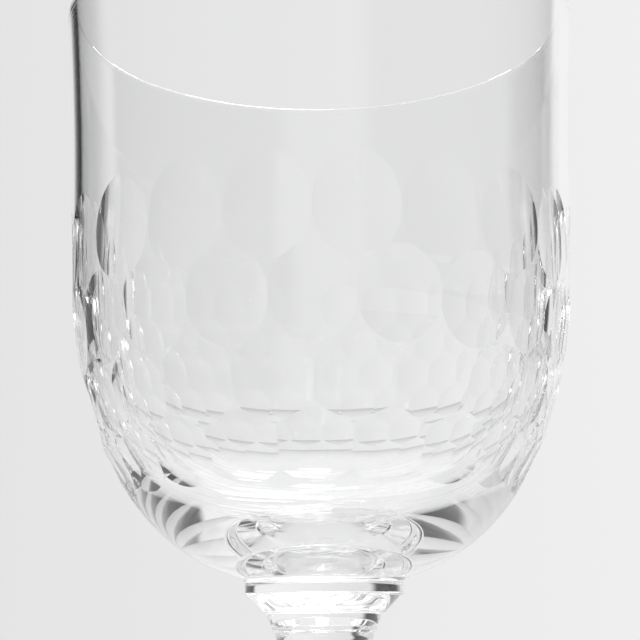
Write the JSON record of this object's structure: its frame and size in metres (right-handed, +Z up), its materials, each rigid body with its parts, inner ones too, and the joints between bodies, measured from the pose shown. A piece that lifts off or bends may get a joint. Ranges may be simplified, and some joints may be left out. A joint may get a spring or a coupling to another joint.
{
  "type": "wine glass",
  "caption": "Stemmed wine glass in clear crystal with a cylindrical bowl rounding in below, staggered olive cuts, a collar, a ringed neck, a slim stem and a round foot.",
  "frame": {"origin": "centre of the circle that the foot stands on, at the height of the table", "axes": "+Z up along the glass's axis from the foot to the lip; +X and +Y level, with the middle of a cut of the second row facing -Y"},
  "size_m": [0.076, 0.0758, 0.165],
  "materials": {
    "bowl_crystal": "polished clear crystal with wheel-cut olives",
    "collar_crystal": "fire-polished clear crystal",
    "neck_crystal": "fire-polished clear crystal",
    "stem_crystal": "drawn, fire-polished clear crystal",
    "foot_crystal": "fire-polished clear crystal"
  },
  "bodies": {
    "root": {"bowl": "bowl_crystal", "collar": "collar_crystal", "neck": "neck_crystal", "stem": "stem_crystal", "foot": "foot_crystal"}
  },
  "joints": []
}
